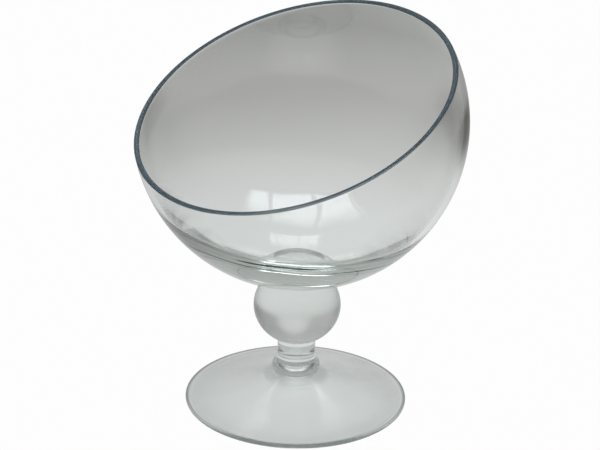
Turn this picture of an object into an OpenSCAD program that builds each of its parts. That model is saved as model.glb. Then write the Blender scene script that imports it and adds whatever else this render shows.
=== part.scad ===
// Slant-cut glass bowl on a ball stem: bowl, knop, neck, collar and foot,
// stacked on one vertical axis. The origin is the centre of the foot's resting
// ring, +Z is up, and the low side of the bowl's opening faces -Y.

/* [Bowl] */
// Outside radius of the round bowl
bowl_r = 90; // [80:0.5:100]
// Wall thickness at the rim and the sides
bowl_wall = 2.9; // [2:0.1:4]
// Glass thickness on the axis, under the bowl's floor
floor_thickness = 15.4; // [12:0.1:18]
// Radius of the bowl's flattened floor
floor_curve_r = 128; // [115:1:160]
// How far the floor's curve sits off the axis, across the opening
floor_off_x = 5; // [0:0.5:6]
// How far the floor's curve sits off the axis, towards the high side
floor_off_y = 0.6; // [0:0.1:1]
// Height of the bowl's centre above the table
bowl_z = 163; // [161:0.5:165]

/* [Opening] */
// Tilt of the opening from level
slant = 26.1; // [15:0.1:35]
// Distance from the bowl's centre to the plane of the rim
rim_offset = 14.7; // [8:0.1:25]

/* [Knop] */
// Diameter of the solid ball
knop_w = 48.6; // [46:0.2:56]
// Height of the whole ball, before its ends are joined
knop_h = 44.2; // [42:0.2:46]
// Height of the ball's centre above the table
knop_z = 57.3; // [56.5:0.1:58.5]

/* [Neck] */
// Radius of the neck at its waist
neck_r = 10.6; // [9.5:0.1:11.2]
// Height of the waist above the table
waist_z = 30; // [29:0.5:31]
// Radius of the concave flare under the waist
flare_r = 15; // [13:0.5:18]

/* [Collar] */
// Largest radius of the collar's rounded band
collar_r = 13.7; // [13.2:0.1:14.5]
// Radius of the rounding on the collar's band
collar_round = 4.2; // [4:0.1:4.4]
// Height of the middle of the band above the table
collar_z = 20.6; // [20.4:0.1:20.8]
// Height of the collar's top, where the neck sits
collar_top_z = 24.2; // [24:0.1:24.4]

/* [Foot] */
// Radius of the foot over its rounded edge
foot_r = 62.5; // [58:0.5:70]
// Thickness of the foot's edge
foot_edge = 2.75; // [2.5:0.05:3]
// Height of the foot's top, where the collar sits
foot_top_z = 17.3; // [17:0.1:17.6]
// Radius of the seat under the collar
seat_r = 12.4; // [12:0.1:12.6]
// Thickness of the foot's sloping wall
foot_wall = 3.2; // [3:0.1:3.6]
// Radius of the foot's gently hollow slope, seen in section
foot_curve_r = 240; // [200:5:400]
// Thickness of the foot's glass under the collar
seat_thickness = 2.8; // [2.5:0.1:4]

/* [Hidden] */
$fn = 128;
glass = [0.78, 0.84, 0.82, 0.55];

// The rim is rounded by a bead whose middle lies halfway through the wall.
rim_mid_r = bowl_r - bowl_wall / 2;
rim_angle = acos(rim_offset / rim_mid_r);
// Height of the centre of the floor's curve, from the bowl's centre.
floor_curve_z = floor_curve_r - bowl_r + floor_thickness;
// The ball is cut level where it has narrowed to the neck.
knop_cut = -knop_h / 2 * sqrt(1 - pow(2 * neck_r / knop_w, 2));
neck_top_z = knop_z + knop_cut;
// The foot's slope is an arc from the edge's top up to the seat.
edge_x = foot_r - foot_edge / 2;
slope_run = edge_x - seat_r;
slope_rise = foot_top_z - foot_edge;
slope_angle = atan(slope_rise / slope_run);
half_chord = sqrt(pow(slope_run, 2) + pow(slope_rise, 2)) / 2;
arc_depth = sqrt(pow(foot_curve_r, 2) - pow(half_chord, 2));
foot_arc_x = (edge_x + seat_r) / 2 + arc_depth * sin(slope_angle);
foot_arc_z = (foot_edge + foot_top_z) / 2 + arc_depth * cos(slope_angle);
collar_mid = collar_r - collar_round;

// Section of the bowl's wall about the rim's axis, with its rounded lip.
module wall_section() {
    difference() {
        circle(r = bowl_r);
        circle(r = bowl_r - bowl_wall);
        translate([-2 * bowl_r, -2 * bowl_r]) square([2 * bowl_r, 4 * bowl_r]);
        polygon([
            [0, 0],
            [0, 4 * bowl_r],
            [2 * bowl_r * tan(rim_angle), 4 * bowl_r],
            [2 * bowl_r * tan(rim_angle), 2 * bowl_r]
        ]);
    }
    rotate(90 - rim_angle) translate([rim_mid_r, 0]) circle(d = bowl_wall);
}

// Round bowl, cut off at a slant, with thick glass under its floor.
module bowl() {
    color(glass) translate([0, 0, bowl_z]) {
        rotate([slant, 0, 0]) rotate_extrude() wall_section();
        difference() {
            sphere(r = rim_mid_r);
            translate([floor_off_x, floor_off_y, floor_curve_z])
                sphere(r = floor_curve_r);
        }
    }
}

// Solid ball, hollowed on top to the bowl's curve and cut level at the neck.
module knop() {
    color(glass) difference() {
        translate([0, 0, knop_z]) rotate_extrude() intersection() {
            scale([1, knop_h / knop_w]) circle(d = knop_w);
            translate([0, knop_cut]) square([knop_w, knop_h]);
        }
        translate([0, 0, bowl_z]) sphere(r = bowl_r);
    }
}

// Short neck, straight above its waist and flared below it.
module neck() {
    color(glass) rotate_extrude() difference() {
        translate([0, collar_top_z])
            square([neck_r + flare_r, neck_top_z - collar_top_z]);
        translate([neck_r, waist_z]) square([2 * flare_r, 2 * flare_r]);
        translate([neck_r + flare_r, waist_z]) circle(r = flare_r);
    }
}

// Rounded band between the neck and the foot.
module collar() {
    color(glass) rotate_extrude() intersection() {
        translate([0, foot_top_z]) square([2 * collar_r, collar_top_z - foot_top_z]);
        union() {
            square([collar_mid, 2 * collar_z]);
            translate([collar_mid, collar_z]) circle(r = collar_round);
        }
    }
}

// The area of the foot's section that lies under an arc about its slope's centre.
module under_arc(arc_r, top) {
    difference() {
        square([edge_x, top]);
        translate([foot_arc_x, foot_arc_z]) circle(r = arc_r, $fn = 256);
    }
}

// Wide foot with a rounded edge, hollow underneath, resting on a narrow ring.
module foot() {
    color(glass) rotate_extrude() {
        difference() {
            under_arc(foot_curve_r, foot_top_z);
            under_arc(foot_curve_r + foot_wall, foot_top_z - seat_thickness);
        }
        translate([edge_x, foot_edge / 2]) circle(d = foot_edge);
    }
}

bowl();
knop();
neck();
collar();
foot();
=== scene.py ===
import math
import bmesh
import bpy
from mathutils import Matrix, Vector, noise


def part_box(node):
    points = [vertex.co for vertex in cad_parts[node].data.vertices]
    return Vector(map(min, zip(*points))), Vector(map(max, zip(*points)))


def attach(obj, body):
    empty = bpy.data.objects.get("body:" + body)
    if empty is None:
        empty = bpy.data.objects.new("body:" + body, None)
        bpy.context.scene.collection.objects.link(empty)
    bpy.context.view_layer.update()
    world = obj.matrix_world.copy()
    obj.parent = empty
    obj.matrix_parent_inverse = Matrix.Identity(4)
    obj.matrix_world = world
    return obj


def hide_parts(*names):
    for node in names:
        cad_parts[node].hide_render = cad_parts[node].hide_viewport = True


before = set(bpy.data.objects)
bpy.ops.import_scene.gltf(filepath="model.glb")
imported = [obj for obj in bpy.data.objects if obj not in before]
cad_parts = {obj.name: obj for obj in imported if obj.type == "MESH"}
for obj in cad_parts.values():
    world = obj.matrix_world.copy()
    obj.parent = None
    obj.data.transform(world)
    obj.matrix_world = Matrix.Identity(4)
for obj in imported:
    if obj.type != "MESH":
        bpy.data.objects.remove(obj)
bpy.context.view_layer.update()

# All sizes are in metres. A smooth glass piece of the same size replaces each plain solid.
# The pieces are fused glass, so the faces where two of them meet are marked and made see-through:
# light then passes from one into the next as it does inside one lump of glass.

meshSettings = {
    "turns": 192,           # steps of a full spin round an axis
    "fusedGap": 0.00004,    # hair between two fused faces, so that they don't share one place
    "creaseAngle": 28.0,    # degrees past which an edge is shaded sharp
    "waveDepth": 0.000015,  # slow waves left in the surface by the glassmaker's tools
    "waveScale": 32.0,
}


# Outlines are drawn in the XZ plane and then spun round Z.

def newOutline(x, z):
    bm = bmesh.new()
    return bm, bmesh.ops.create_vert(bm, co=(x, 0, z))["vert"][0]


def lineTo(bm, vert, x, z):
    grown = bmesh.ops.extrude_vert_indiv(bm, verts=[vert])["verts"][0]
    grown.co = (x, 0, z)
    return grown


def arcTo(bm, vert, x, z, degrees, steps):  # turns clockwise round (x, z) when degrees is above 0
    spun = bmesh.ops.spin(bm, geom=[vert], cent=(x, 0, z), axis=(0, 1, 0), angle=math.radians(degrees),
                          steps=steps)
    return [g for g in spun["geom_last"] if isinstance(g, bmesh.types.BMVert)][0]


def spinOutline(bm):
    bmesh.ops.spin(bm, geom=bm.verts[:] + bm.edges[:], cent=(0, 0, 0), axis=(0, 0, 1),
                   angle=math.tau, steps=meshSettings["turns"], use_merge=True)
    bmesh.ops.remove_doubles(bm, verts=bm.verts[:], dist=1e-7)
    bmesh.ops.recalc_face_normals(bm, faces=bm.faces[:])


def roundLoop(bm, radius, z, width, segments):  # rounds the sharp loop at this radius and height
    near = 1e-5
    loop = [e for e in bm.edges if all(
        abs(v.co.z - z) < near and abs(math.hypot(v.co.x, v.co.y) - radius) < near for v in e.verts)]
    bmesh.ops.bevel(bm, geom=loop, offset=width, segments=segments, profile=0.5, affect="EDGES",
                    material=-1)


def markFaces(bm, label, test, amount=1.0):
    layer = bm.faces.layers.float.get(label) or bm.faces.layers.float.new(label)
    for face in bm.faces:
        if test(face):
            face[layer] = amount


def addWaves(bm):  # only ever inwards, and never where pieces are fused or the foot rests
    layer = bm.faces.layers.float.get("fused")
    bm.normal_update()
    for vert in bm.verts:
        if vert.co.z < 1e-5 or any(face[layer] > 0 for face in vert.link_faces):
            continue
        height = 0.5 + 0.5 * noise.noise(vert.co * meshSettings["waveScale"])
        vert.co -= vert.normal * height * meshSettings["waveDepth"]


def finishPiece(bm, name, node, material):
    addWaves(bm)
    for face in bm.faces:
        face.smooth = True
    for edge in bm.edges:
        edge.smooth = not edge.is_manifold or edge.calc_face_angle() < math.radians(
            meshSettings["creaseAngle"])
    mesh = bpy.data.meshes.new(name)
    bm.to_mesh(mesh)
    bm.free()
    mesh.materials.append(material)
    piece = bpy.data.objects.new(name, mesh)
    bpy.context.scene.collection.objects.link(piece)
    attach(piece, "root")
    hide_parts(node)
    print("made", name, len(mesh.polygons), "faces")
    return piece


def linked(tree, kind, x, y, sources=(), **settings):  # a node, its settings and what feeds it in turn
    node = tree.nodes.new(kind)
    node.location = (x, y)
    for name, value in settings.items():
        setattr(node, name, value)
    for place, source in enumerate(sources):
        if isinstance(source, bpy.types.NodeSocket):
            tree.links.new(source, node.inputs[place])
        elif source is not None:
            node.inputs[place].default_value = source
    return node


def calc(tree, x, y, operation, *sources, clamp=False):
    return linked(tree, "ShaderNodeMath", x, y, sources, operation=operation, use_clamp=clamp).outputs[0]


def mixColours(tree, x, y, share, first, second):
    node = linked(tree, "ShaderNodeMix", x, y, data_type="RGBA")
    tree.links.new(share, node.inputs["Factor"])
    for socket, colour in zip([i for i in node.inputs if i.type == "RGBA"], (first, second)):
        if isinstance(colour, bpy.types.NodeSocket):
            tree.links.new(colour, socket)
        else:
            socket.default_value = colour
    return [o for o in node.outputs if o.type == "RGBA"][0]


def between(tree, x, y, value, low, high, soft, softHigh=None):  # 1 inside the limits, 0 outside
    softHigh = softHigh or soft
    up = linked(tree, "ShaderNodeMapRange", x, y, (value, low - soft, low + soft, 0.0, 1.0),
                interpolation_type="SMOOTHSTEP").outputs[0]
    down = linked(tree, "ShaderNodeMapRange", x, y - 250,
                  (value, high - softHigh, high + softHigh, 1.0, 0.0),
                  interpolation_type="SMOOTHSTEP").outputs[0]
    return calc(tree, x + 180, y, "MULTIPLY", up, down)


def makeGroup(name, inputs, outputs):
    group = bpy.data.node_groups.new(name, "ShaderNodeTree")
    for label, kind in inputs:
        group.interface.new_socket(name=label, in_out="INPUT", socket_type=kind)
    for label, kind in outputs:
        group.interface.new_socket(name=label, in_out="OUTPUT", socket_type=kind)
    start = group.nodes.new("NodeGroupInput")
    start.location = (-1400, 0)
    end = group.nodes.new("NodeGroupOutput")
    end.location = (900, 0)
    return group, start, end


handworkSettings = {
    "detail": 3.0,
    "roughness": 0.55,        # of the pattern, not of the glass
    "smeared": (0.42, 0.72),  # where in the pattern the smears begin and are full
}


def makeHandworkGroup():  # faint smears and streaks left on the glass by handling and wiping
    s = handworkSettings
    group, start, end = makeGroup("handwork",
                                  [("Scale", "NodeSocketFloat"), ("Stretch", "NodeSocketFloat"),
                                   ("Clean", "NodeSocketFloat"), ("Smeared", "NodeSocketFloat")],
                                  [("Roughness", "NodeSocketFloat")])
    place = linked(group, "ShaderNodeTexCoord", -1400, -200).outputs["Object"]
    parts = linked(group, "ShaderNodeSeparateXYZ", -1200, -200, (place,)).outputs
    tall = calc(group, -1000, -300, "MULTIPLY", parts["Z"], start.outputs["Stretch"])
    pressed = linked(group, "ShaderNodeCombineXYZ", -800, -200, (parts["X"], parts["Y"], tall)).outputs[0]
    smears = linked(group, "ShaderNodeTexNoise", -500, -200)
    smears.inputs["Detail"].default_value = s["detail"]
    smears.inputs["Roughness"].default_value = s["roughness"]
    group.links.new(pressed, smears.inputs["Vector"])
    group.links.new(start.outputs["Scale"], smears.inputs["Scale"])
    spread = linked(group, "ShaderNodeMapRange", -200, -200, (smears.outputs[0], *s["smeared"]))
    spread.interpolation_type = "SMOOTHSTEP"
    group.links.new(start.outputs["Clean"], spread.inputs["To Min"])
    group.links.new(start.outputs["Smeared"], spread.inputs["To Max"])
    group.links.new(spread.outputs[0], end.inputs["Roughness"])
    return group


handwork = makeHandworkGroup()


glassSettings = {
    "ior": 1.51,
    "specular": 0.5,
    "tint": (0.99, 0.995, 0.99, 1),         # what one surface lets through
    "depthColour": (0.74, 0.81, 0.77, 1),   # what the glass takes on with depth
    "depthDensity": 7.0,
    "smearScale": 26.0,
    "smearStretch": 0.5,
    "clean": 0.004,                         # roughness where the glass is clean
    "smeared": 0.015,                       # and where it is smeared
    "groundColour": (0.40, 0.50, 0.58, 1),  # painted shade: dark blue-grey on the bowl's rim and the foot's edge
}


def makeGlass(name, **changes):
    values = {**glassSettings, **changes}
    material = bpy.data.materials.new(name)
    material.use_nodes = True
    tree = material.node_tree
    tree.nodes.clear()
    output = linked(tree, "ShaderNodeOutputMaterial", 600, 0)
    glass = linked(tree, "ShaderNodeBsdfPrincipled", 0, 100)
    glass.inputs["Base Color"].default_value = values["tint"]
    glass.inputs["IOR"].default_value = values["ior"]
    glass.inputs["Specular IOR Level"].default_value = values["specular"]
    glass.inputs["Transmission Weight"].default_value = 1.0
    marks = linked(tree, "ShaderNodeGroup", -400, 0, node_tree=handwork)
    marks.inputs["Scale"].default_value = values["smearScale"]
    marks.inputs["Stretch"].default_value = values["smearStretch"]
    marks.inputs["Clean"].default_value = values["clean"]
    marks.inputs["Smeared"].default_value = values["smeared"]
    tree.links.new(marks.outputs["Roughness"], glass.inputs["Roughness"])
    clear = linked(tree, "ShaderNodeBsdfTransparent", 0, -300)
    fused = linked(tree, "ShaderNodeAttribute", 0, 300)
    fused.attribute_name = "fused"
    mix = linked(tree, "ShaderNodeMixShader", 300, 0)
    depth = linked(tree, "ShaderNodeVolumeAbsorption", 300, -300)
    depth.inputs["Color"].default_value = values["depthColour"]
    depth.inputs["Density"].default_value = values["depthDensity"]
    shadedEdge = linked(tree, "ShaderNodeBsdfTranslucent", 0, -450)  # painted shade, a dark translucent surface on the faces marked for it
    shadedEdge.inputs["Color"].default_value = values["groundColour"]
    # how much painted shade each face carries, on the rim and the foot's edge
    ground = linked(tree, "ShaderNodeAttribute", 0, 500)
    ground.attribute_name = "ground"
    edged = linked(tree, "ShaderNodeMixShader", 200, 200)
    tree.links.new(ground.outputs["Fac"], edged.inputs["Fac"])
    tree.links.new(glass.outputs["BSDF"], edged.inputs[1])
    tree.links.new(shadedEdge.outputs["BSDF"], edged.inputs[2])
    tree.links.new(fused.outputs["Fac"], mix.inputs["Fac"])
    tree.links.new(edged.outputs["Shader"], mix.inputs[1])
    tree.links.new(clear.outputs["BSDF"], mix.inputs[2])
    tree.links.new(mix.outputs["Shader"], output.inputs["Surface"])
    tree.links.new(depth.outputs["Volume"], output.inputs["Volume"])
    return material


bowlSettings = {
    "wall": 0.0029,               # thickness at the rim and the sides
    "floorThickness": 0.0154,     # thickness on the axis, under the floor
    "floorCurve": 0.128,          # radius of the flattened floor
    "floorOff": (0.005, 0.0006),  # how far the floor's curve sits off the axis
    "floorBlend": 0.0054,         # how far the floor runs into the sides
    "floorWave": 0.00022,         # how far tool marks lift and lower the floor
    "floorWaves": 5.0,            # how close together they are
    "slant": 26.1,                # tilt of the rim, in degrees
    "rimOffset": 0.0147,          # from the bowl's centre to the plane of the rim
    "rimShade": 0.82,              # how much painted shade the rim carries
    "sideSteps": 80,
    "lipSteps": 14,
}

bowlLow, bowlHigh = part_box("bowl")
knopLow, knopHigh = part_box("knop")
bowlRadius = round((bowlHigh.x - bowlLow.x) / 2, 4)
bowlCentre = round(bowlLow.z, 4) + bowlRadius
jointHeight = knopHigh.z  # the knop's highest edge is the circle where it meets the bowl


def floorRadius(direction):  # from the bowl's centre to its inner face, along a unit vector
    s = bowlSettings
    side = bowlRadius - s["wall"]
    middle = Vector((*s["floorOff"], s["floorCurve"] - bowlRadius + s["floorThickness"]))
    along = middle.dot(direction)
    floor = along + math.sqrt(along ** 2 - middle.length_squared + s["floorCurve"] ** 2)
    blend = min(max(0.5 + 0.5 * (floor - side) / s["floorBlend"], 0), 1)
    wave = s["floorWave"] * noise.noise(direction * s["floorWaves"]) * (1 - blend)
    return floor + (side - floor) * blend - s["floorBlend"] * blend * (1 - blend) + wave


def makeBowl(material):
    s = bowlSettings
    middle = bowlRadius - s["wall"] / 2
    inner = bowlRadius - s["wall"]
    rimAngle = math.acos(s["rimOffset"] / middle)
    sweep = 180 - math.degrees(rimAngle)
    bm, vert = newOutline(0, -bowlRadius)
    vert = arcTo(bm, vert, 0, 0, -sweep, s["sideSteps"])
    vert = arcTo(bm, vert, middle * math.sin(rimAngle), middle * math.cos(rimAngle), -180, s["lipSteps"])
    arcTo(bm, vert, 0, 0, sweep, s["sideSteps"])
    spinOutline(bm)
    bmesh.ops.rotate(bm, verts=bm.verts[:], cent=(0, 0, 0),
                     matrix=Matrix.Rotation(math.radians(s["slant"]), 3, "X"))
    for vert in bm.verts:
        if vert.co.length < inner + 1e-6:
            vert.co *= floorRadius(vert.co.normalized()) / vert.co.length
    skin = 0.0001  # faces nearer than this to either side of the wall aren't part of the rim
    # the rim's faces carry painted shade, standing in for the dark that the glass's edge shows
    markFaces(bm, "ground", lambda f: inner + skin < f.calc_center_median().length < bowlRadius - skin,
              s["rimShade"])
    bmesh.ops.translate(bm, verts=bm.verts[:], vec=(0, 0, bowlCentre))
    centre = Vector((0, 0, bowlCentre))
    cutReach = jointHeight + 0.01  # only faces below this are cut along the joint
    underside = [f for f in bm.faces if (f.calc_center_median() - centre).length > middle
                 and f.calc_center_median().z < cutReach]
    edges = list({e for f in underside for e in f.edges})
    verts = list({v for f in underside for v in f.verts})
    cut = bmesh.ops.bisect_plane(bm, geom=underside + edges + verts, dist=1e-7,
                                 plane_co=(0, 0, jointHeight), plane_no=(0, 0, 1))
    for vert in [g for g in cut["geom_cut"] if isinstance(g, bmesh.types.BMVert)]:
        reach = math.sqrt(bowlRadius ** 2 - (jointHeight - bowlCentre) ** 2)
        vert.co.xy = vert.co.xy.normalized() * reach
    markFaces(bm, "fused", lambda f: f.calc_center_median().z < jointHeight - 1e-6
              and (f.calc_center_median() - centre).length > middle)
    return finishPiece(bm, "glassBowl", "bowl", material)


neckLow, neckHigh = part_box("neck")
collarLow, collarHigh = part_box("collar")
footLow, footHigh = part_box("foot")

knopSettings = {
    "height": 0.0442,  # of the whole ball, before its ends are joined
    "centre": 0.0573,  # height of its middle
    "sideSteps": 64,
    "capSteps": 16,
}


def makeKnop(material):
    s = knopSettings
    gap = meshSettings["fusedGap"]
    radius = (knopHigh.x - knopLow.x) / 2
    squash = s["height"] / 2 / radius
    joint = math.sqrt(bowlRadius ** 2 - (jointHeight - bowlCentre) ** 2)
    upper = math.degrees(math.acos(joint / radius))
    lower = math.degrees(math.acos(neckSettings["radius"] / radius))
    bm, vert = newOutline(radius * math.cos(math.radians(lower)), -radius * math.sin(math.radians(lower)))
    bottom = vert
    top = arcTo(bm, vert, 0, 0, -(upper + lower), s["sideSteps"])
    bmesh.ops.scale(bm, verts=bm.verts[:], vec=(1, 1, squash))
    bmesh.ops.translate(bm, verts=bm.verts[:], vec=(0, 0, s["centre"]))
    top.co.z = jointHeight
    vert = lineTo(bm, top, joint - gap, jointHeight - gap)
    sag = math.degrees(math.asin(vert.co.x / math.hypot(vert.co.x, bowlCentre - vert.co.z)))
    arcTo(bm, vert, 0, bowlCentre, sag, s["capSteps"])
    lineTo(bm, bottom, 0, bottom.co.z)
    low = bottom.co.z
    capReach = bowlRadius + 0.001  # the hollow cap under the bowl lies within this of the bowl's centre
    spinOutline(bm)
    markFaces(bm, "fused", lambda f: f.calc_center_median().z < low + 1e-6
              or (math.hypot(*f.calc_center_median().xy) < joint
                  and (f.calc_center_median() - Vector((0, 0, bowlCentre))).length < capReach
                  and f.calc_center_median().z > s["centre"]))
    return finishPiece(bm, "glassKnop", "knop", material)


neckSettings = {
    "radius": 0.0106,
    "waist": 0.030,  # height where it starts to flare out
    "flareSteps": 16,
}


def makeNeck(material):
    s = neckSettings
    gap = meshSettings["fusedGap"]
    flare = (neckHigh.x - neckLow.x) / 2 - s["radius"]
    drop = s["waist"] - neckLow.z
    curve = (drop ** 2 + flare ** 2) / (2 * flare)
    bm, vert = newOutline(0, neckHigh.z - gap)
    vert = lineTo(bm, vert, s["radius"] - gap, neckHigh.z - gap)
    vert = lineTo(bm, vert, s["radius"], neckHigh.z)
    vert = lineTo(bm, vert, s["radius"], s["waist"])
    vert = arcTo(bm, vert, s["radius"] + curve, s["waist"], -math.degrees(math.asin(drop / curve)),
                 s["flareSteps"])
    lineTo(bm, vert, 0, vert.co.z)
    low = vert.co.z
    spinOutline(bm)
    markFaces(bm, "fused", lambda f: f.calc_center_median().z < low + 1e-6
              or f.calc_center_median().z > neckHigh.z - gap * 1.01)
    return finishPiece(bm, "glassNeck", "neck", material)


collarSettings = {
    "round": 0.0042,   # radius of its rounded side, seen in section
    "middle": 0.0206,  # height of its widest place
    "steps": 24,
}


def makeCollar(material):
    s = collarSettings
    gap = meshSettings["fusedGap"]
    middle = (collarHigh.x - collarLow.x) / 2 - s["round"]
    up = collarHigh.z - s["middle"]
    down = s["middle"] - collarLow.z
    reachTop = middle + math.sqrt(s["round"] ** 2 - up ** 2)
    turn = math.degrees(math.asin(up / s["round"]) + math.asin(down / s["round"]))
    bm, vert = newOutline(0, collarHigh.z - gap)
    vert = lineTo(bm, vert, reachTop - gap, collarHigh.z - gap)
    vert = lineTo(bm, vert, reachTop, collarHigh.z)
    vert = arcTo(bm, vert, middle, s["middle"], turn, s["steps"])
    lineTo(bm, vert, 0, vert.co.z)
    low = vert.co.z
    spinOutline(bm)
    markFaces(bm, "fused", lambda f: f.calc_center_median().z < low + 1e-6
              or f.calc_center_median().z > collarHigh.z - gap * 1.01)
    return finishPiece(bm, "glassCollar", "collar", material)


footSettings = {
    "edge": 0.00275,       # thickness of the rounded edge
    "seatRadius": 0.0124,  # under the collar
    "slopeCurve": 0.240,   # radius of the slope, seen in section
    "wall": 0.0032,
    "seatThickness": 0.0028,
    "roofRound": 0.007,    # rounding of the hollow's roof
    "restRound": 0.0006,   # and of the hollow's edge, where the foot rests
    "footEdgeShade": 0.28,      # how much painted shade the foot's edge carries
    "slopeSteps": 40,
    "edgeSteps": 16,
    "roofSteps": 12,
    "restSteps": 3,
}


def makeFoot(material):
    s = footSettings
    gap = meshSettings["fusedGap"]
    edgeRound = s["edge"] / 2
    edgeMiddle = (footHigh.x - footLow.x) / 2 - edgeRound
    chord = Vector((s["seatRadius"] - edgeMiddle, footHigh.z - s["edge"]))
    lean = math.atan2(chord.y, -chord.x)
    half = math.asin(chord.length / 2 / s["slopeCurve"])
    edgeLean = lean - half                     # slope of the foot's top where it runs into the edge
    start = Vector((edgeMiddle + edgeRound * math.sin(edgeLean), edgeRound * (1 + math.cos(edgeLean))))
    seat = Vector((s["seatRadius"], footHigh.z))
    out = Vector((math.sin(edgeLean), math.cos(edgeLean)))
    curve = (seat - start).length_squared / (2 * out.dot(seat - start))
    centre = start + out * curve
    sweep = 2 * math.degrees(math.asin((seat - start).length / 2 / curve))
    bm, vert = newOutline(0, footHigh.z - gap)
    vert = lineTo(bm, vert, seat.x - gap, seat.y - gap)
    vert = lineTo(bm, vert, seat.x, seat.y)
    vert = arcTo(bm, vert, centre.x, centre.y, -sweep, s["slopeSteps"])
    vert = arcTo(bm, vert, edgeMiddle, edgeRound, 180 - math.degrees(edgeLean), s["edgeSteps"])
    below = curve + s["wall"]
    ring = centre.x - math.sqrt(below ** 2 - centre.y ** 2)
    vert = lineTo(bm, vert, ring, 0)
    roof = footHigh.z - s["seatThickness"]
    inward = centre.x - math.sqrt(below ** 2 - (centre.y - roof) ** 2)
    turn = math.degrees(math.atan2(centre.x - inward, centre.y - roof)
                        - math.atan2(centre.x - ring, centre.y))
    vert = arcTo(bm, vert, centre.x, centre.y, turn, s["slopeSteps"])
    lineTo(bm, vert, 0, roof)
    spinOutline(bm)
    roundLoop(bm, ring, 0, s["restRound"], s["restSteps"])
    roundLoop(bm, inward, roof, s["roofRound"], s["roofSteps"])
    markFaces(bm, "fused", lambda f: f.calc_center_median().z > footHigh.z - gap * 1.01)
    # painted shade on the foot's rounded edge, from here outwards
    shadeFrom = edgeMiddle + edgeRound * 0.2
    markFaces(bm, "ground", lambda f: math.hypot(*f.calc_center_median().xy) > shadeFrom, s["footEdgeShade"])
    return finishPiece(bm, "glassFoot", "foot", material)


bowlGlass = makeGlass("bowlGlass")
knopGlass = makeGlass("knopGlass", clean=0.22, smeared=0.28, smearScale=40.0)
stemGlass = makeGlass("stemGlass", clean=0.01, smeared=0.04, smearScale=60.0)
# the foot's glass paints a grey-green shade on its edge
footGlass = makeGlass("footGlass", clean=0.19, smeared=0.27, smearStretch=1.0, specular=0.1,
                      tint=(0.982, 1.0, 0.988, 1), groundColour=(0.36, 0.45, 0.42, 1))
makeBowl(bowlGlass)
makeKnop(knopGlass)
makeNeck(stemGlass)
makeCollar(stemGlass)
makeFoot(footGlass)


viewAzimuth = 40.1  # degrees round the stem, from the low side of the rim to the main view

roomSettings = {
    "behindTone": 0.42,            # walls behind the bowl, seen from the front
    "nearTone": 0.15,              # the dark room on the viewer's side
    "wallChange": (0.35, 0.85),    # from the near walls to those behind
    "wallRise": 0.16,              # how much lighter the walls get towards the ceiling
    "riseBetween": (0.2, 0.7),
    "leftLight": 0.12,             # how much lighter the left of the room is than the right
    "leftReach": 0.8,
    "glowTone": 0.24,              # light low behind the bowl
    "glowHeading": (0.07, 0.997, 0.0),
    "glowEdge": (0.94, 1.0),
    "horizon": 0.02,               # directions lower than this see the window's plane as from this one
    "windowTone": 5.2,
    "windowColour": (0.90, 0.97, 1.0),
    "windowSides": (-0.34, 0.36),  # across, in room heights
    "windowDepth": (0.30, 0.74),   # away from the viewer, in room heights
    "windowSoft": (0.05, 0.04),    # softness of its sides and of its near end
    "windowFade": 0.22,            # how softly the far end of the window dims
    "barSpacing": 0.285,
    "barOffset": 0.045,
    "barEdge": (0.0066, 0.0154),   # from the middle of a bar to where it ends
    "barTone": 0.2,
}


def makeRoomGroup():  # looks up the light of the room in one direction
    s = roomSettings
    group, start, end = makeGroup("roomLight", [("Direction", "NodeSocketVector")],
                                  [("Colour", "NodeSocketColor")])
    turned = linked(group, "ShaderNodeVectorRotate", -1200, 0, (start.outputs["Direction"],),
                    rotation_type="Z_AXIS")
    turned.inputs["Angle"].default_value = -math.radians(viewAzimuth)
    parts = linked(group, "ShaderNodeSeparateXYZ", -1000, 0, (turned.outputs[0],)).outputs
    up = calc(group, -800, 0, "MAXIMUM", parts["Z"], s["horizon"])
    across = calc(group, -600, 0, "DIVIDE", parts["X"], up)
    away = calc(group, -600, -200, "DIVIDE", parts["Y"], up)
    inside = calc(group, -100, 0, "MULTIPLY",
                  between(group, -400, 0, across, *s["windowSides"], s["windowSoft"][0]),
                  between(group, -400, -500, away, *s["windowDepth"], s["windowSoft"][1], s["windowFade"]))
    shifted = calc(group, -400, 400, "ADD", across, s["barOffset"])
    toBar = calc(group, -200, 400, "PINGPONG", shifted, s["barSpacing"] / 2)
    pane = linked(group, "ShaderNodeMapRange", 0, 400,
                  (toBar, *s["barEdge"], s["barTone"], 1.0)).outputs[0]
    glow = calc(group, 200, 200, "MULTIPLY", inside, pane)
    wall = linked(group, "ShaderNodeMapRange", -400, -900,
                  (parts["Y"], *s["wallChange"], s["nearTone"], s["behindTone"]),
                  interpolation_type="SMOOTHSTEP").outputs[0]
    rise = linked(group, "ShaderNodeMapRange", -400, -1400,
                  (parts["Z"], *s["riseBetween"], 0.0, s["wallRise"])).outputs[0]
    toGlow = linked(group, "ShaderNodeVectorMath", -700, -1650, (turned.outputs[0], s["glowHeading"]),
                    operation="DOT_PRODUCT").outputs["Value"]
    lowGlow = linked(group, "ShaderNodeMapRange", -400, -1650,
                     (toGlow, *s["glowEdge"], 0.0, s["glowTone"]),
                     interpolation_type="SMOOTHSTEP").outputs[0]
    sideShare = linked(group, "ShaderNodeMapRange", -400, -1150,
                       (parts["X"], -s["leftReach"], s["leftReach"],
                        s["leftLight"] / 2, -s["leftLight"] / 2)).outputs[0]
    tone = calc(group, -100, -900, "ADD", wall, sideShare)
    tone = calc(group, 0, -1000, "ADD", tone, rise)
    tone = calc(group, 100, -1100, "ADD", tone, lowGlow)
    base = linked(group, "ShaderNodeCombineColor", 200, -900, (tone, tone, tone)).outputs[0]
    window = [c * s["windowTone"] for c in s["windowColour"]] + [1]
    group.links.new(mixColours(group, 500, 0, glow, base, window), end.inputs["Colour"])
    return group


roomLight = makeRoomGroup()

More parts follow.
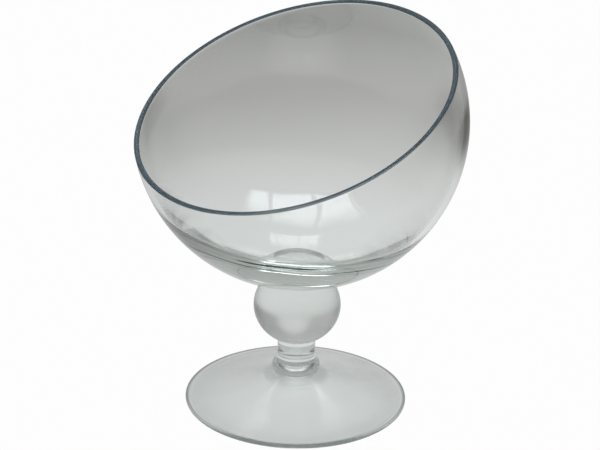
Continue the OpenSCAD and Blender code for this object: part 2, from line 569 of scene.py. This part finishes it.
floorSettings = {
    "halfSize": 8.0,
    "shown": (0.985, 0.985, 0.985, 1),
    # what the glass shows of the floor, by metres from the stem
    "tones": ((0.0, 0.70), (0.045, 0.64), (0.060, 0.54), (0.072, 0.74), (0.12, 0.74), (0.19, 0.70),
              (0.27, 0.65), (0.38, 0.59), (0.46, 0.53), (0.60, 0.43), (0.78, 0.355), (0.92, 0.29),
              (2.0, 0.29)),
    "nearHue": (0.975, 1.0, 0.995),
    "farHue": (0.995, 1.0, 0.975),
    "hueChange": (0.15, 0.60),        # metres over which the near hue goes over into the far one
    "sideLight": 0.10,                # how much lighter the right side is than the left one
    "sideReach": 0.12,
    "shadePatchPlace": (0.40, 0.50, 0.0),   # painted shade on the floor, right and left behind the bowl; nothing stands there
    "shadePatchEdge": (0.10, 0.32),
    "shadePatchTone": 0.30,
    "sheen": (0.80, 0.93),            # how low one has to look to see the room mirrored in the floor
    "patchSides": (-0.034, 0.036),    # a lighter patch of floor, far behind the bowl
    "patchDepth": (0.70, 0.89),
    "patchSoft": (0.014, 0.05),
    "patchLight": 0.10,
    "nearEdge": (-0.42, -0.28),       # the lit floor ends on the viewer's side
    "nearShade": 0.50,
    "contactRing": (0.0604, 0.0628),  # shade under the edge of the foot
    "contactSoft": 0.0007,
    "contactShade": 0.55,
}


def makeFloor():
    s = floorSettings
    bm = bmesh.new()
    bmesh.ops.create_grid(bm, x_segments=1, y_segments=1, size=s["halfSize"])
    mesh = bpy.data.meshes.new("floor")
    bm.to_mesh(mesh)
    bm.free()
    material = bpy.data.materials.new("floorPaper")
    material.use_nodes = True
    tree = material.node_tree
    tree.nodes.clear()
    place = linked(tree, "ShaderNodeTexCoord", -1400, 0).outputs["Object"]
    far = linked(tree, "ShaderNodeVectorMath", -1200, 0, (place,), operation="LENGTH").outputs["Value"]
    share = calc(tree, -1000, 0, "DIVIDE", far, s["tones"][-1][0], clamp=True)
    ramp = linked(tree, "ShaderNodeValToRGB", -800, 0, (share,))
    stops = ramp.color_ramp.elements
    while len(stops) < len(s["tones"]):
        stops.new(0.5)
    for stop, (distance, tone) in zip(stops, s["tones"]):
        stop.position = distance / s["tones"][-1][0]
        share = min(max((distance - s["hueChange"][0]) / (s["hueChange"][1] - s["hueChange"][0]), 0), 1)
        stop.color = [tone * (n + (f - n) * share) for n, f in zip(s["nearHue"], s["farHue"])] + [1]
    turned = linked(tree, "ShaderNodeVectorRotate", -1200, -300, (place,), rotation_type="Z_AXIS")
    turned.inputs["Angle"].default_value = -math.radians(viewAzimuth)
    turned = linked(tree, "ShaderNodeSeparateXYZ", -1000, -300, (turned.outputs[0],)).outputs
    side = turned["X"]
    light = linked(tree, "ShaderNodeMapRange", -800, -300,
                   (side, -s["sideReach"], s["sideReach"],
                    1 - s["sideLight"] / 2, 1 + s["sideLight"] / 2)).outputs[0]
    # painted shade on the floor, the same on the right and the left behind the bowl
    spread = linked(tree, "ShaderNodeCombineXYZ", -900, -600,
                    (calc(tree, -1050, -600, "ABSOLUTE", side), turned["Y"], 0.0)).outputs[0]
    toShadePatch = linked(tree, "ShaderNodeVectorMath", -750, -600, (spread, s["shadePatchPlace"]),
                    operation="DISTANCE").outputs["Value"]
    shadePatch = linked(tree, "ShaderNodeMapRange", -550, -600, (toShadePatch, *s["shadePatchEdge"], s["shadePatchTone"], 1.0),
                  interpolation_type="SMOOTHSTEP").outputs[0]
    near = linked(tree, "ShaderNodeMapRange", -550, -900,
                  (turned["Y"], *s["nearEdge"], s["nearShade"], 1.0)).outputs[0]
    light = calc(tree, -450, -300, "MULTIPLY", light, calc(tree, -450, -700, "MULTIPLY", shadePatch, near))
    patch = calc(tree, -450, -2100, "MULTIPLY",
                 between(tree, -900, -2100, side, *s["patchSides"], s["patchSoft"][0]),
                 between(tree, -900, -2600, far, *s["patchDepth"], s["patchSoft"][1]))
    patch = calc(tree, -250, -2100, "MULTIPLY_ADD", patch, s["patchLight"], 1.0)
    light = calc(tree, -350, -500, "MULTIPLY", light, patch)
    contact = between(tree, -900, -1800, far, *s["contactRing"], s["contactSoft"])
    contact = linked(tree, "ShaderNodeMapRange", -500, -1500,
                     (contact, 0.0, 1.0, 1.0, s["contactShade"])).outputs[0]
    light = calc(tree, -500, -300, "MULTIPLY", light, contact)
    lit = linked(tree, "ShaderNodeVectorMath", -600, 0, (ramp.outputs["Color"], (1, 1, 1)),
                 operation="SCALE")
    tree.links.new(light, lit.inputs["Scale"])
    mirrored = linked(tree, "ShaderNodeGroup", -800, 600, node_tree=roomLight)
    level = linked(tree, "ShaderNodeVectorMath", -1000, 600, (place,), operation="NORMALIZE").outputs[0]
    tree.links.new(level, mirrored.inputs["Direction"])
    flat = linked(tree, "ShaderNodeLayerWeight", -1000, 800, (0.5,)).outputs["Facing"]
    sheen = linked(tree, "ShaderNodeMapRange", -800, 800, (flat, *s["sheen"], 0.0, 1.0),
                   interpolation_type="SMOOTHSTEP").outputs[0]
    shown = mixColours(tree, -550, 200, sheen, lit.outputs[0], mirrored.outputs["Colour"])
    seen = linked(tree, "ShaderNodeEmission", -400, 0, (shown, 1.0))
    direct = linked(tree, "ShaderNodeEmission", -400, -300, (s["shown"], 1.0))
    path = linked(tree, "ShaderNodeLightPath", -400, 300)
    mix = linked(tree, "ShaderNodeMixShader", -100, 0,
                 (path.outputs["Is Camera Ray"], seen.outputs[0], direct.outputs[0]))
    linked(tree, "ShaderNodeOutputMaterial", 200, 0, (mix.outputs[0],))
    mesh.materials.append(material)
    floor = bpy.data.objects.new("floor", mesh)
    bpy.context.scene.collection.objects.link(floor)


def makeSurroundings():
    world = bpy.data.worlds.new("studio")
    bpy.context.scene.world = world
    world.use_nodes = True
    tree = world.node_tree
    tree.nodes.clear()
    place = linked(tree, "ShaderNodeTexCoord", -600, 0).outputs["Generated"]
    room = linked(tree, "ShaderNodeGroup", -400, 0, node_tree=roomLight)
    tree.links.new(place, room.inputs["Direction"])
    seen = linked(tree, "ShaderNodeBackground", -100, 0, (room.outputs["Colour"], 1.0))
    direct = linked(tree, "ShaderNodeBackground", -100, -200, (floorSettings["shown"], 1.0))
    path = linked(tree, "ShaderNodeLightPath", -100, 300)
    mix = linked(tree, "ShaderNodeMixShader", 200, 0,
                 (path.outputs["Is Camera Ray"], seen.outputs[0], direct.outputs[0]))
    linked(tree, "ShaderNodeOutputWorld", 400, 0, (mix.outputs[0],))


cameraSettings = {
    "azimuth": viewAzimuth,
    "distance": 0.8174,  # level distance from the stem
    "height": 0.4177,
    "pitch": 20.97,
    "roll": 1.13,
    "heading": -0.05,
    "lens": 96.0,
}


def makeCamera():
    s = cameraSettings
    data = bpy.data.cameras.new("camera")
    data.lens = s["lens"]
    data.sensor_width = 36.0
    data.clip_start = 0.01
    data.clip_end = 50.0
    camera = bpy.data.objects.new("camera", data)
    bpy.context.scene.collection.objects.link(camera)
    around = math.radians(s["azimuth"])
    turn = (Matrix.Rotation(around + math.radians(s["heading"]), 3, "Z")
            @ Matrix.Rotation(math.radians(90 - s["pitch"]), 3, "X")
            @ Matrix.Rotation(math.radians(s["roll"]), 3, "Z"))
    camera.rotation_euler = turn.to_euler()
    camera.location = (s["distance"] * math.sin(around), -s["distance"] * math.cos(around), s["height"])
    bpy.context.scene.camera = camera


makeFloor()
makeSurroundings()
makeCamera()
scene = bpy.context.scene
scene.view_settings.view_transform = "Standard"
scene.cycles.max_bounces = 32
scene.cycles.glossy_bounces = 24
scene.cycles.transmission_bounces = 32
print("scene ready")
